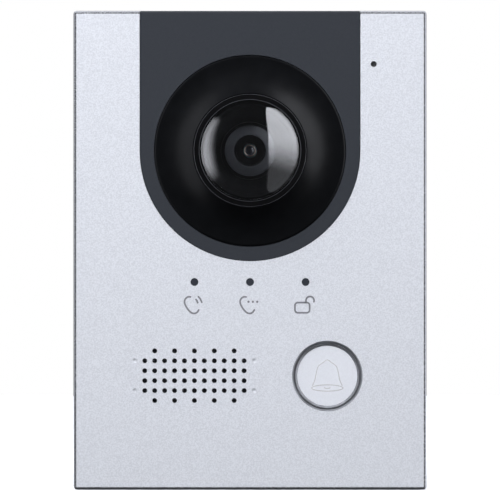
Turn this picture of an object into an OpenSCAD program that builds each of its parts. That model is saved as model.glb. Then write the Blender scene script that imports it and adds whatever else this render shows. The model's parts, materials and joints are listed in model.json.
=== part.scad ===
// Flush-face video door station: aluminium front panel, domed camera, call button.
// X runs to the right, Z up, and the wall is the plane Y = 0. The front faces -Y.
// Every sub-part is drawn lying down: x across, y up the wall, z out from the wall.

/* [Panel] */
// Width of the front panel
panel_w = 96; // [95:0.5:98]
// Height of the front panel
panel_h = 130; // [129:0.5:132]
// Radius of the panel's upright corners
panel_corner_r = 1; // [0.6:0.1:2]
// Radius of the rounded front edge
panel_edge_r = 0.75; // [0.4:0.05:1]

/* [Camera] */
// Height of the lens axis above the panel's middle
lens_z = 26.95; // [26:0.05:27.5]
// Radius of the round end of the dark bezel
bezel_r = 29.85; // [29.5:0.05:30]
// Radius of the glossy dish around the dome
dish_r = 25.95; // [25.5:0.05:26]
// Outer radius of the dome's sphere
dome_sphere_r = 20.6; // [20:0.1:21]
// Thickness of the dome's wall
dome_wall = 1.5; // [1.2:0.1:1.8]

/* [Call button] */
// Sideways place of the call button
button_x = 21; // [20.5:0.1:21.5]
// Height of the call button above the panel's middle
button_z = -34.2; // [-35:0.1:-34]
// Radius of the button's hole in the panel
button_hole_r = 9.6; // [9.5:0.05:9.7]
// Radius of the button's cap
button_cap_r = 8.75; // [8.6:0.05:8.8]

/* [Grille] */
// Distance between neighbouring grille holes
grille_pitch = 2.7; // [2.6:0.05:2.8]
// Diameter of a grille hole
grille_hole_d = 1.35; // [1:0.05:1.5]
// Sideways place of the grille and the loudspeaker
speaker_x = -15.1; // [-15.3:0.1:-14.9]
// Height of the grille and the loudspeaker
speaker_z = -34.15; // [-34.4:0.05:-34]

/* [Indicators] */
// Distance between the indicator lights
light_gap = 15.1; // [14.5:0.1:15.5]
// Height of the indicator lights
light_z = -8.7; // [-8.8:0.05:-8.6]

/* [Wall fixing] */
// Width between the wall screws
wall_hole_gap_x = 60; // [58:0.5:61]
// Height between the four outer wall screws
wall_hole_gap_z = 52; // [50:0.5:54]
// Diameter of a wall screw hole
wall_hole_d = 4.6; // [4:0.1:5]

/* [Hidden] */
$fn = 64;

// Levels measured out from the wall: [back, front]
bracket_span = [0, 1.5];
wall_seal_span = [0, 0.8];
housing_base_span = [0.8, 7.4];
housing_neck_span = [7.4, 16.4];
housing_back_span = [4.6, 6.2];
housing_seal_span = [16.4, 17.6];
skirt_span = [7.6, 19.6];
skin_span = [17.6, 19.6];
board_span = [13.6, 15.2];
camera_board_span = [7.4, 8.6];
camera_frame_span = [13.2, 14.8];
infrared_board_span = [16, 17];
bezel_lip_span = [16, 17.1];
shutter_span = [8.6, 12.95];
shutter_slot_span = [10.4, 11.2];
holder_span = [13, 17.6];
barrel_span = [13.2, 20.9];
shroud_span = [17.7, 21.5];
speaker_rim_span = [14.5, 16.2];
magnet_span = [10.4, 13.35];
jack_span = [1.8, 13.6];
terminal_span = [3.6, 13.6];
tamper_flange_span = [8.2, 9];

// Panel and housing
skirt_t = 2;
through = 30;
housing_base = [94, 128];
housing_neck = [91.4, 125.4];
housing_cavity = [87.4, 121.4];
housing_recess = [86, 120];
post_spots = [for (x = [-39, 39], z = [-55.5, 0, 55.5]) [x, z]];
post_r = 3;
post_hole_r = 1.5;
post_foot = 12.5;
boss_r = 3.8;
boss_top = 12.4;
boss_bore_r = 3.1;
boss_hole_r = 1.7;
screw_seat = 10.2;

// Wall bracket, its hooks, its lock tab and the notch for the tamper plunger
bracket_size = [76, 108];
cable_window = [[-25.5, -20], [25.5, -3]];
hook_x = 31;
hook_w = 6;
hook_zs = [38, -40];
hook_t = 1.5;
hook_reach = 7.9;
hook_rise = 5.5;
pocket_half = [3.4, 6.2];
pocket_depth = 8.2;
pocket_wall = 1.5;
lock_level = 4.1;
lock_tab = [12, 1.5, 6];
lock_tab_z = -54;
lock_pocket = [[-9, -60], [9, -46]];
lock_shank_r = 1.45;
lock_head_r = 2.45;
tamper_spot = [-20, -53];
tamper_pin_r = 1.6;
tamper_notch = [5.2, 15];
tamper_cup = [5.6, 4.4];

// Camera stack
notch_gap = 0.15;
flare_r = 15.5;
flare_foot_r = 25.2;
dish_t = 1.6;
dish_foot = 18;
dish_bore_r = 15.2;
dish_seat_r = 26.1;
dish_ledge_r = 24.4;
dome_tip = 28.5;
dome_neck_r = 13.8;
dome_bore_r = 12.3;
dome_flange_span = [20.3, 21.5];
dome_flange_r = 15;
shroud_r = 6.75;
barrel_r = 6;
barrel_face_r = 4.1;
holder_r = 7.6;
ear_gap = 20.5;
board_post_gap = 14.2;
lip_r = 33.6;
lip_top = 45.5;
bezel_screw_spots = [[-31.9, 42.5], [31.9, 42.5], [-31.9, 27], [31.9, 27], [0, -4.95]];
bezel_screw_hole_r = 1.1;
window_step = 5.6;
window_size = [4.8, 6];

// Button, lights, microphone
trim_bore_r = 8.95;
button_face = 19.1;
button_rim = 19.5;
button_dish_r = 8.25;
button_flange_r = 10.2;
button_flange_span = [16.4, 17.42];
button_hollow_r = 7.2;
switch_size = 6;
switch_span = [15.2, 17.2];
mic_spot = [33.6, 50.5];
mic_hole_r = 0.82;
mic_r = 3;
light_hole_r = 1.075;
light_spots = [for (k = [-1:1]) [k * light_gap, light_z]];

// Grille rows: [rows above the middle, hole columns]
grille_wide = [for (k = [-5:5]) k];
grille_short = [-4, -2, 0, 2, 4];
grille_rows = [[-2.5, grille_short], [-1.5, grille_wide], [-0.5, grille_wide],
  [0.5, grille_wide], [1.5, grille_wide], [2.5, grille_short]];
dimple_spots = [for (k = [-6, 6], row = [-1.5, 1.5]) [k * grille_pitch, row * grille_pitch]];

// Loudspeaker
speaker_rim_r = 12.4;
speaker_mouth_r = 11.8;
cone_r = 10.2;
magnet_r = 6.5;
coil_gap = [4.1, 2.9];

// Boards and connectors
board_area = [[-34.6, -58], [34.6, 1.8]];
board_screw_spots = [for (x = [-31.8, 31.8], z = [-54.5, -1.5]) [x, z]];
bay = [[-27, -20], [27, -3]];
bay_wall = 1.5;
bay_front = 13;
jack_box = [[-26.4, -19.6], [-10.4, -6.2]];
jack_mouth = [[-24.3, -18.2], [-12.5, -8.2]];
jack_mouth_end = 11.8;
contact_pitch = 1.02;
terminal_box = [[-3.5, -19.4], [26, -9.4]];
pole_pitch = 3.5;
pole_xs = [for (k = [0:7]) -1 + k * pole_pitch];
pole_wire_z = -16.2;
pole_screw_z = -12.2;
ribbon_w = 10;

// Leads, as points [across, up, out from the wall]
mic_route = [[33.6, 50.5, 13.8], [33.6, 50.4, 12.8], [33.6, 48, 11.5], [33.2, 40, 11.2],
  [32, 28, 11.2], [31, 16, 11.6], [29.6, 8, 13.4], [28, 2.6, 15.6], [27.2, -1, 16.4],
  [26.6, -4.4, 16.4]];
speaker_route = [[-7, -34, 12.9], [-5, -34, 11.8], [-1, -34.4, 11.2], [3, -34.2, 11.6],
  [5.8, -34, 12.6]];
lead_r = 0.55;

// Stands a sub-part that was drawn lying down up against the wall
module stand() rotate([90, 0, 0]) children();

module layer(span) translate([0, 0, span[0]]) linear_extrude(span[1] - span[0]) children();

module washer(ro, ri) difference() {
  circle(ro);
  circle(ri);
}

module tube(ro, ri, span) layer(span) washer(ro, ri);

module rod(r, span) layer(span) circle(r);

module at(spots) for (p = spots) translate(p) children();

module corners(gap) for (x = [-gap, gap], z = [-gap, gap]) translate([x, z]) children();

module at_lens() translate([0, lens_z]) children();

module at_button() translate([button_x, button_z]) children();

module at_speaker() translate([speaker_x, speaker_z]) children();

module at_tamper() translate(tamper_spot) children();

module rounded(size, r) {
  square([size[0] - 2 * r, size[1]], center = true);
  square([size[0], size[1] - 2 * r], center = true);
  for (x = [-1, 1], y = [-1, 1]) translate([x * (size[0] / 2 - r), y * (size[1] / 2 - r)]) circle(r);
}

module picture_frame(outer, inner, r) difference() {
  rounded(outer, r);
  rounded(inner, r / 2);
}

// A rectangle between two opposite corners, grown on every side
module area(ends, grow = 0) translate(ends[0] - [grow, grow])
  square(ends[1] - ends[0] + 2 * [grow, grow]);

// A shape with a round lower end about the lens axis and a straight top edge
module arch(r, top) {
  at_lens() circle(r);
  translate([-r, lens_z]) square([2 * r, top - lens_z]);
}

// Points of a smooth curve through hand-chosen points
function smooth_point(p, k, t) =
  let (a = p[max(k - 1, 0)], b = p[k], c = p[k + 1], d = p[min(k + 2, len(p) - 1)])
  0.5 * (2 * b + (c - a) * t + (2 * a - 5 * b + 4 * c - d) * t * t
    + (3 * b - a - 3 * c + d) * t * t * t);

function smooth_path(p, steps) =
  [for (k = [0:len(p) - 2], s = [0:steps - 1]) smooth_point(p, k, s / steps), p[len(p) - 1]];

function unit(v) = v / norm(v);

// A round lead swept along a path, as one closed solid
module lead(route, r, sides = 8, steps = 3) {
  path = smooth_path(route, steps);
  last = len(path) - 1;
  way = [for (k = [0:last]) unit(path[min(k + 1, last)] - path[max(k - 1, 0)])];
  side = [for (w = way) unit(cross(w, [0.1, 1, 0.2]))];
  up = [for (k = [0:last]) cross(way[k], side[k])];
  rings = [for (k = [0:last], s = [0:sides - 1])
    path[k] + r * (cos(360 * s / sides) * side[k] + sin(360 * s / sides) * up[k])];
  skin = [for (k = [0:last - 1], s = [0:sides - 1])
    let (n = (s + 1) % sides) [k * sides + n, k * sides + s, (k + 1) * sides + s, (k + 1) * sides + n]];
  foot = [[for (s = [0:sides - 1]) s]];
  tip = [[for (s = [sides - 1:-1:0]) last * sides + s]];
  polyhedron(rings, concat(skin, foot, tip));
}

// Side view of the panel, with its front edges rounded
module edge_profile(width) {
  half = width / 2;
  depth = skirt_span[1] - skirt_span[0];
  translate([-half, skirt_span[0]]) square([width, depth - panel_edge_r]);
  translate([-half + panel_edge_r, skirt_span[0]]) square([width - 2 * panel_edge_r, depth]);
  for (x = [-1, 1]) translate([x * (half - panel_edge_r), skirt_span[1] - panel_edge_r])
    circle(panel_edge_r);
}

module top_edge_rounding() rotate([90, 0, 90]) layer([-panel_w, panel_w]) edge_profile(panel_h);

module panel_blank() intersection() {
  layer(skirt_span) rounded([panel_w, panel_h], panel_corner_r);
  rotate([90, 0, 0]) layer([-panel_h, panel_h]) edge_profile(panel_w);
  top_edge_rounding();
}

module grille_holes() for (row = grille_rows, k = row[1])
  translate([k * grille_pitch, row[0] * grille_pitch]) circle(d = grille_hole_d, $fn = 24);

module wall_screw_holes() {
  for (x = [-1, 1], z = [-1, 0, 1])
    translate([x * wall_hole_gap_x / 2, z * wall_hole_gap_z / 2]) circle(d = wall_hole_d);
}

module wall_hook() {
  stem = hook_reach - bracket_span[1];
  translate([-hook_w / 2, 0, bracket_span[1]]) cube([hook_w, hook_t, stem]);
  translate([-hook_w / 2, 0, hook_reach - hook_t]) cube([hook_w, hook_rise, hook_t]);
}

module wall_bracket() color("gainsboro") stand() {
  corner_r = 3;
  tab_hole_r = lock_shank_r + 0.05;
  layer(bracket_span) difference() {
    rounded(bracket_size, corner_r);
    area(cable_window);
    wall_screw_holes();
    translate([tamper_spot[0] - tamper_notch[0] / 2, -60]) square(tamper_notch);
  }
  for (x = [-hook_x, hook_x], z = hook_zs) translate([x, z]) wall_hook();
  difference() {
    translate([-lock_tab[0] / 2, lock_tab_z, bracket_span[1]]) cube(lock_tab);
    translate([0, lock_tab_z - 1, lock_level]) rotate([-90, 0, 0]) cylinder(h = 4, r = tab_hole_r);
  }
}

module lock_screw() color("silver") stand() translate([0, 1 - panel_h / 2, lock_level])
  rotate([-90, 0, 0]) {
    head_h = 1.9;
    screw_h = 13;
    socket_r = 1.15;
    difference() {
      union() {
        cylinder(h = head_h, r = lock_head_r);
        cylinder(h = screw_h, r = lock_shank_r);
      }
      translate([0, 0, -1]) cylinder(h = 2.2, r = socket_r, $fn = 6);
    }
  }

module front_panel() color("silver") stand() {
  dimple_r = 1.15;
  dimple_lift = 0.93;
  screw_depth = 1.3;
  difference() {
    panel_blank();
    layer([0, skin_span[0]]) square([panel_w - 2 * skirt_t, panel_h - 2 * skirt_t], center = true);
    layer([0, through]) {
      arch(bezel_r + notch_gap, panel_h);
      at(light_spots) circle(light_hole_r);
      translate(mic_spot) circle(mic_hole_r);
      at_button() circle(button_hole_r);
      at_speaker() grille_holes();
    }
    at_speaker() at(dimple_spots) translate([0, 0, skin_span[1] + dimple_lift])
      sphere(dimple_r, $fn = 32);
    at(bezel_screw_spots) rod(1, [skin_span[0] - 1, skin_span[0] + screw_depth]);
  }
  at(post_spots) difference() {
    rod(post_r, [post_foot, skin_span[0] + 0.01]);
    rod(post_hole_r, [post_foot - 1, skin_span[0] - 1]);
  }
}

// The blocks around the hooks, and the hollows that the hooks rise in
module hook_pockets(grow, span) for (x = [-hook_x, hook_x], z = hook_zs) translate([x, z])
  layer(span) area([-pocket_half, pocket_half], grow);

// The slots through the back wall that the hooks pass, closed where the housing hangs
module hook_slots() {
  hang_gap = 0.05;
  for (x = [-hook_x, hook_x], z = hook_zs) translate([x, z])
    layer([0, pocket_depth]) area([-pocket_half, [pocket_half[0], hook_t + hang_gap]]);
}

module rear_housing() color("dimgray") stand() difference() {
  back = housing_back_span[0];
  block_span = [back, pocket_depth + pocket_wall];
  union() {
    difference() {
      union() {
        layer(housing_base_span) rounded(housing_base, 1.5);
        layer([housing_neck_span[0] - 0.01, housing_neck_span[1]]) rounded(housing_neck, 1.2);
      }
      layer([0, back]) rounded(housing_recess, 1.2);
      layer([housing_back_span[1], through]) rounded(housing_cavity, 1);
    }
    at(post_spots) rod(boss_r, [back, boss_top]);
    hook_pockets(pocket_wall, block_span);
    layer(block_span) area(lock_pocket, pocket_wall);
    layer([back, bay_front]) area(bay, bay_wall);
    at_tamper() rod(tamper_cup[0], [back, 12.9]);
    at(board_screw_spots) rod(2.8, [back, board_span[0] - 0.1]);
  }
  at(post_spots) {
    rod(boss_bore_r, [0, screw_seat]);
    rod(boss_hole_r, [0, through]);
  }
  hook_pockets(0, [housing_back_span[1], pocket_depth]);
  hook_slots();
  layer([0, pocket_depth]) area(lock_pocket);
  layer([0, through]) area(bay);
  at_tamper() {
    rod(tamper_cup[1], [housing_back_span[1], through]);
    rod(tamper_pin_r + 0.3, [0, through]);
  }
  at(board_screw_spots) rod(1.1, [8, through]);
  translate([0, -70, lock_level]) rotate([-90, 0, 0]) {
    cylinder(h = 8, r = lock_head_r + 0.25);
    cylinder(h = 12, r = lock_shank_r + 0.3);
  }
}

module housing_seal() color("black") stand() layer(housing_seal_span)
  picture_frame(housing_neck - [0.2, 0.2], housing_cavity + [0.2, 0.2], 1);

module wall_seal() color("black") stand() layer(wall_seal_span)
  picture_frame(housing_base, housing_recess + [0.4, 0.4], 1.5);

module housing_screws() color("silver") stand() at(post_spots) difference() {
  back = 8.3;
  union() {
    rod(2.8, [back, screw_seat]);
    rod(1.45, [back, 16.2]);
  }
  layer([back - 1, back + 1.2]) circle(1.2, $fn = 6);
}

module camera_bezel() color("#3d4246") stand() difference() {
  step = 0.3;
  union() {
    intersection() {
      union() {
        layer(skin_span) arch(bezel_r, panel_h / 2);
        layer(skirt_span) area([[-bezel_r, panel_h / 2 - skirt_t], [bezel_r, panel_h / 2]]);
      }
      top_edge_rounding();
    }
    layer(bezel_lip_span) arch(lip_r, lip_top);
    layer([bezel_lip_span[0], skin_span[0] + 0.01]) arch(bezel_r - step, lip_top);
    at_lens() corners(ear_gap) rod(2.6, [14.9, 16.9]);
  }
  at_lens() {
    rod(dish_seat_r, [17.9, through]);
    rod(dish_ledge_r, [0, through]);
    corners(ear_gap) rod(1.1, [14, 17.2]);
  }
  at(bezel_screw_spots) rod(bezel_screw_hole_r, [0, skin_span[0]]);
}

module bezel_gasket() color("black") stand() layer([bezel_lip_span[1], skin_span[0]]) difference() {
  arch(lip_r - 0.2, lip_top - 0.2);
  arch(bezel_r + notch_gap, lip_top);
  at(bezel_screw_spots) circle(bezel_screw_hole_r);
}

module bezel_screws() color("silver") stand() at(bezel_screw_spots) {
  rod(1.8, [15.3, bezel_lip_span[0]]);
  rod(0.9, [15.3, 18.7]);
}

// A flare that rises ever more steeply from the bezel to the dome
module camera_dish() color("#15181a") stand() at_lens() rotate_extrude($fn = 128) {
  rim_h = skin_span[1] - dish_foot;
  intersection() {
    translate([flare_foot_r, skin_span[1] + flare_r]) washer(flare_r + dish_t, flare_r);
    translate([dish_bore_r, dish_foot]) square([flare_foot_r - dish_bore_r, 5.3]);
  }
  translate([flare_foot_r - 0.5, dish_foot]) square([dish_r - flare_foot_r + 0.5, rim_h]);
  translate([dish_bore_r, dish_foot + 0.3]) square([1.4, 4.2]);
  translate([14, dish_foot + 0.3]) square([1.4, 1]);
}

module dome_cover() color("#9fa6aa", 0.35) stand() at_lens() rotate_extrude($fn = 128) {
  middle = dome_tip - dome_sphere_r;
  foot = dome_flange_span[0];
  difference() {
    intersection() {
      translate([0, middle]) circle(dome_sphere_r);
      translate([0, foot]) square([dome_neck_r, 10]);
    }
    intersection() {
      translate([0, middle]) circle(dome_sphere_r - dome_wall);
      translate([-1, foot - 1]) square([dome_bore_r + 1, 10]);
    }
    translate([-1, foot - 1]) square([dome_bore_r + 1, 3.1]);
  }
  translate([dome_bore_r, foot])
    square([dome_flange_r - dome_bore_r, dome_flange_span[1] - foot]);
}

module dome_retainer() color("#101214") stand() at_lens()
  tube(dish_bore_r - 0.05, dome_neck_r + 0.05, [21.6, 23.3]);

module dome_gasket() color("black") stand() at_lens() tube(15.1, 13.9, [19.35, 20.25]);

// A dark funnel between the dome's rim and the lens shroud, with one step
module lens_baffle() color("#1b1d1f") stand() at_lens() rotate_extrude()
  polygon([[7.8, 16.2], [8.6, 16.2], [11.3, 18.3], [11.5, 19], [13.6, 19], [13.6, 20], [11.5, 20],
    [10.8, 18.9], [8.3, 17.4], [7.8, 17.4]]);

module lens_shroud() color("#4a4d50") stand() at_lens() {
  face_t = 0.45;
  face_back = shroud_span[1] - face_t;
  tube(shroud_r, barrel_r + 0.1, [shroud_span[0], face_back + 0.05]);
  tube(shroud_r, barrel_face_r + 0.1, [face_back, shroud_span[1]]);
}

module lens_barrel() color("#0c0d0e") stand() at_lens() {
  nose = 0.4;
  tube(barrel_r, 3, barrel_span);
  tube(barrel_face_r, 2.2, [barrel_span[1] - 0.05, barrel_span[1] + nose]);
}

module front_lens() color("#20242c") stand() at_lens() intersection() {
  lens_r = 3.7;
  translate([0, 0, 18.2]) sphere(lens_r);
  rod(2.1, [barrel_span[1], 22]);
}

module lens_holder() color("#222426") stand() at_lens() tube(holder_r, barrel_r + 0.1, holder_span);

module ir_cut_housing() color("#2a2c2e") stand() at_lens() difference() {
  layer(shutter_span) square([20.4, 17], center = true);
  layer([8, 12]) square([18.4, 13.4], center = true);
  rod(4.5, [8, through]);
}

module filter_windows(gap) for (x = [0, window_step]) translate([x, 0])
  square(window_size - [gap, gap], center = true);

module ir_cut_carriage() color("#5a5d60") stand() at_lens() layer(shutter_slot_span) difference() {
  area([[-3.4, -5.6], [9, 5.6]]);
  filter_windows(0);
}

module ir_cut_glass() color("#7fb3b0", 0.6) stand() at_lens()
  layer(shutter_slot_span + [0.2, -0.2]) filter_windows(0.1);

module image_sensor() color("#20364a") stand() at_lens()
  layer([camera_board_span[1], camera_board_span[1] + 1]) square([8, 7], center = true);

module camera_board() color("#1f5a36") stand() at_lens() layer(camera_board_span) difference() {
  rounded([34, 34], 2);
  corners(board_post_gap) circle(1.1);
}

module camera_frame() color("#303336") stand() at_lens() difference() {
  union() {
    tube(24, holder_r + 0.3, camera_frame_span);
    corners(ear_gap) rod(3.4, camera_frame_span);
    corners(board_post_gap) rod(2.4, [camera_board_span[1] + 0.05, camera_frame_span[0] + 0.1]);
    tube(22, 20.6, [camera_frame_span[1] - 0.1, infrared_board_span[0] - 0.05]);
  }
  corners(ear_gap) rod(1.1, [0, through]);
  corners(board_post_gap) rod(0.95, [0, 12.4]);
}

module camera_screws() color("silver") stand() at_lens() {
  corners(ear_gap) {
    rod(2.1, [12, camera_frame_span[0]]);
    rod(1, [12, 16.9]);
  }
  corners(board_post_gap) {
    rod(1.7, [6.4, camera_board_span[0]]);
    rod(0.9, [6.4, 11.6]);
  }
}

module infrared_board() color("#1f5a36") stand() at_lens() tube(23.4, 15.6, infrared_board_span);

module infrared_leds() color("#d9dce0") stand() at_lens() for (a = [45:90:315]) rotate(a)
  translate([18.5, 0]) {
    layer([infrared_board_span[1], 17.9]) square(3, center = true);
    rod(1.2, [17.8, 18.8]);
  }

// The ring in the panel's hole slopes down towards the button
module button_trim_ring() color("silver") stand() at_button() rotate_extrude($fn = 96) {
  outer_r = button_hole_r - 0.02;
  polygon([[trim_bore_r, 17.7], [outer_r, 17.7], [outer_r, 19.65], [trim_bore_r, 19.2]]);
}

// The cap is a shallow dish, hollow behind, with a flange that holds it in
module button_cap() color("silver") stand() at_button() difference() {
  union() {
    rotate_extrude($fn = 96)
      polygon([[0, button_flange_span[1] - 0.02], [button_cap_r, button_flange_span[1] - 0.02],
        [button_cap_r, button_rim], [button_dish_r, button_face], [0, button_face]]);
    rod(button_flange_r, button_flange_span);
  }
  rod(button_hollow_r, [0, 18]);
}

module button_guide() color("#303336") stand() at_button()
  tube(button_flange_r + 1.4, button_flange_r + 0.4, [15.3, 17.5]);

module button_seal() color("#202020") stand() at_button() tube(button_flange_r, 8.9, [15.2, 15.5]);

module button_switch() color("#1a1a1a") stand() at_button() difference() {
  layer(switch_span) square(switch_size, center = true);
  rod(1.9, [15.6, through]);
}

module switch_plunger() color("#101010") stand() at_button() rod(1.7, [16.4, 17.95]);

module indicator_light_guide() color("#3a3d40") stand() {
  bar_span = [16, 17.4];
  layer(bar_span) area([[-18, light_z - 1.6], [18, light_z + 1.6]]);
  at(light_spots) rod(light_hole_r - 0.025, [bar_span[1] - 0.1, 19.5]);
}

module indicator_leds() color("#e8e8d8") stand() at(light_spots)
  layer([board_span[1], board_span[1] + 0.7]) square([1.6, 1], center = true);

module microphone_boot() color("#202020") stand() translate(mic_spot) difference() {
  rod(4, [12.7, 17.5]);
  rod(mic_r + 0.05, [0, 16.5]);
  rod(mic_hole_r, [0, through]);
}

module microphone_capsule() color("silver") stand() translate(mic_spot) rod(mic_r, [13.9, 16.45]);

module microphone_lead() color("#303030") stand() lead(mic_route, lead_r);

module dust_mesh() color("#0d0d0e") stand() at_speaker() layer([17.3, 17.55]) rounded([32, 17], 2);

module speaker_gasket() color("#222222") stand() at_speaker() layer([15.3, 17.5])
  picture_frame([36, 28], [33, 25], 2);

module speaker_frame() color("#2b2d30") stand() at_speaker() {
  tube(speaker_rim_r, speaker_mouth_r, speaker_rim_span);
  layer([15.3, speaker_rim_span[1]]) intersection() {
    washer(15.5, speaker_mouth_r);
    square([31, 16], center = true);
  }
  tube(speaker_rim_r, coil_gap[0] + 0.1, [13.4, speaker_rim_span[0] + 0.1]);
}

module speaker_magnet() color("#8c9094") stand() at_speaker() {
  plate_front = magnet_span[0] + 2;
  rod(magnet_r, [magnet_span[0], plate_front]);
  tube(magnet_r, coil_gap[0], [plate_front - 0.1, magnet_span[1]]);
  rod(coil_gap[1], [plate_front - 0.1, magnet_span[1]]);
}

module speaker_surround() color("#1c1c1c") stand() at_speaker()
  tube(speaker_mouth_r - 0.05, cone_r + 0.2, [15.4, 15.9]);

module speaker_cone() color("#38332c") stand() at_speaker() rotate_extrude()
  polygon([[0, 15.6], [3, 15.3], [4.4, 15.3], [cone_r, 15.7], [cone_r, 16.1], [4, 15.7], [0, 16]]);

module voice_coil() color("#b8763a") stand() at_speaker() tube(3.7, 3.2, [13, 15.25]);

module speaker_lead() color("#7a1d1d") stand() lead(speaker_route, lead_r);

module main_board() color("#1f5a36") stand() layer(board_span) difference() {
  area(board_area);
  at_speaker() circle(speaker_rim_r + 0.5);
  at(board_screw_spots) circle(1.3);
}

// Processor, memory and lead socket in front; lead socket, coil and capacitors behind
module board_components() color("#17191b") stand() {
  front = board_span[1];
  back = board_span[0];
  layer([front, front + 1.2]) area([[-26, -18.8], [-14, -12]]);
  layer([front, front + 1]) area([[1, -18.6], [9, -12.4]]);
  layer([front, front + 2]) area([[24, -7.4], [29, -4.6]]);
  layer([back - 1.4, back]) area([[6.2, -35.6], [10, -32.4]]);
  layer([back - 3, back]) area([[14, -32], [21, -25]]);
  at([[9, -47], [16, -47]]) rod(2.5, [back - 3.6, back]);
}

module board_screws() color("silver") stand() at(board_screw_spots) {
  rod(2.2, [board_span[1], 16.4]);
  rod(1, [9, 16.4]);
}

module network_jack() color("#26282a") stand() difference() {
  layer(jack_span) area(jack_box);
  layer([1, jack_mouth_end]) area(jack_mouth);
}

module jack_contacts() color("#c9a227") stand() {
  contact = [0.34, 0.5, 6];
  middle = (jack_mouth[0][0] + jack_mouth[1][0]) / 2;
  for (k = [-3.5:3.5]) translate([middle + k * contact_pitch - contact[0] / 2, -8.95, 3.4])
    cube(contact);
}

module terminal_block() color("#2f7a4a") stand() difference() {
  layer(terminal_span) area(terminal_box);
  for (x = pole_xs) {
    translate([x, pole_wire_z]) layer([3, 10]) square(2.4, center = true);
    translate([x, pole_screw_z]) rod(1.35, [3, 6.4]);
  }
}

module terminal_screws() color("silver") stand() for (x = pole_xs) translate([x, pole_screw_z])
  difference() {
    rod(1.25, [4, 6.3]);
    layer([3, 4.5]) square([3, 0.4], center = true);
  }

// A flat strip that drops from the camera board and steps forward to the main board
module camera_flat_cable() color("#e6e2d6") stand() translate([-ribbon_w / 2, 0])
  rotate([0, 90, 0]) rotate(90) linear_extrude(ribbon_w)
    polygon([[10.9, 9.2], [4.4, 9.2], [2.2, 12.7], [1.65, 12.7], [1.65, 13],
      [2.38, 13], [4.56, 9.5], [10.9, 9.5]]);

module flat_cable_sockets() color("#d8d2c0") stand() {
  half_w = ribbon_w / 2 + 1;
  layer([camera_board_span[1], 10]) area([[-half_w, 11], [half_w, 14]]);
  layer([12.3, board_span[0]]) area([[-half_w, -1], [half_w, 1.6]]);
}

module tamper_switch() color("#1a1a1a") stand() at_tamper() rod(2.6, [10.2, board_span[0]]);

module tamper_plunger() color("#c8cacc") stand() at_tamper() {
  rod(tamper_pin_r, [0, 10.05]);
  rod(tamper_cup[1] - 0.2, tamper_flange_span);
}

module tamper_spring() color("silver") stand() at_tamper()
  tube(3.75, 3.25, [tamper_flange_span[1] + 0.05, board_span[0] - 0.05]);

wall_bracket();
lock_screw();
front_panel();
rear_housing();
housing_seal();
wall_seal();
housing_screws();
camera_bezel();
bezel_gasket();
bezel_screws();
camera_dish();
dome_cover();
dome_retainer();
dome_gasket();
lens_baffle();
lens_shroud();
lens_barrel();
front_lens();
lens_holder();
ir_cut_housing();
ir_cut_carriage();
ir_cut_glass();
image_sensor();
camera_board();
camera_frame();
camera_screws();
infrared_board();
infrared_leds();
button_trim_ring();
button_cap();
button_guide();
button_seal();
button_switch();
switch_plunger();
indicator_light_guide();
indicator_leds();
microphone_boot();
microphone_capsule();
microphone_lead();
dust_mesh();
speaker_gasket();
speaker_frame();
speaker_magnet();
speaker_surround();
speaker_cone();
voice_coil();
speaker_lead();
main_board();
board_components();
board_screws();
network_jack();
jack_contacts();
terminal_block();
terminal_screws();
camera_flat_cable();
flat_cable_sockets();
tamper_switch();
tamper_plunger();
tamper_spring();
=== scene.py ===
import json
import math

import bmesh
import bpy
from mathutils import Matrix, Vector

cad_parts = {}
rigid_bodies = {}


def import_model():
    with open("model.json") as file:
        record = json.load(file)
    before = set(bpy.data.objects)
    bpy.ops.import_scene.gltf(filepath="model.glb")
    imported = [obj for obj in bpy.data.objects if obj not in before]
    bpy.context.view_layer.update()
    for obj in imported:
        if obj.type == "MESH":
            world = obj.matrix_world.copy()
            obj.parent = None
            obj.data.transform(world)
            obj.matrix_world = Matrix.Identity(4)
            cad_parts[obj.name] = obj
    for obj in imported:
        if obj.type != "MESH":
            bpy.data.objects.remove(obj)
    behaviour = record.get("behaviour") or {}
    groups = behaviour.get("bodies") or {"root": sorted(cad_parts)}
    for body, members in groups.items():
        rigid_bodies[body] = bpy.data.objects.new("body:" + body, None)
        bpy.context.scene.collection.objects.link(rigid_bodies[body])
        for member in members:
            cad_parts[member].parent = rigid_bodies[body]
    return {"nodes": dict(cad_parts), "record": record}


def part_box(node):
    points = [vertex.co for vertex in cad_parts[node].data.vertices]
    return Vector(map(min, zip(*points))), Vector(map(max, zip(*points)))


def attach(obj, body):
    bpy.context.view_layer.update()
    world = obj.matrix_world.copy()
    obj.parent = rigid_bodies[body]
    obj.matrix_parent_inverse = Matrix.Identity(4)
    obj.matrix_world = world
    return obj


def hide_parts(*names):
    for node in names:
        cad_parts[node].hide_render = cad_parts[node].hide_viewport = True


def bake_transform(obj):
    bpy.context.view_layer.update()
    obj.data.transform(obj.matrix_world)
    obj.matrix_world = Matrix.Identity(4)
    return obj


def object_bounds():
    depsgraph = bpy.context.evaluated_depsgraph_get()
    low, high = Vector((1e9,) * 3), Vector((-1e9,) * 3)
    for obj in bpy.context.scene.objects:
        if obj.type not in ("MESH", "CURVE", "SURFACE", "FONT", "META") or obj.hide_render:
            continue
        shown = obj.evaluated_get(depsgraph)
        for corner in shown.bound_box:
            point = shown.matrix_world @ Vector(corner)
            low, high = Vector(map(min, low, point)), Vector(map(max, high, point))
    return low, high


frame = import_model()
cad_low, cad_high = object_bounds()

MM = 0.001


# ---------------------------------------------------------------- places from the frame

def centre(node):
    low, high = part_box(node)
    return (Vector(low) + Vector(high)) / 2


def front_of(node):
    """How far a node's front stands out from the wall, in millimetres."""
    return -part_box(node)[0][1] / MM


def spot(node):
    """Where a node's middle stands on the wall, as (across, up) in millimetres."""
    middle = centre(node)
    return middle.x / MM, middle.z / MM


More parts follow.
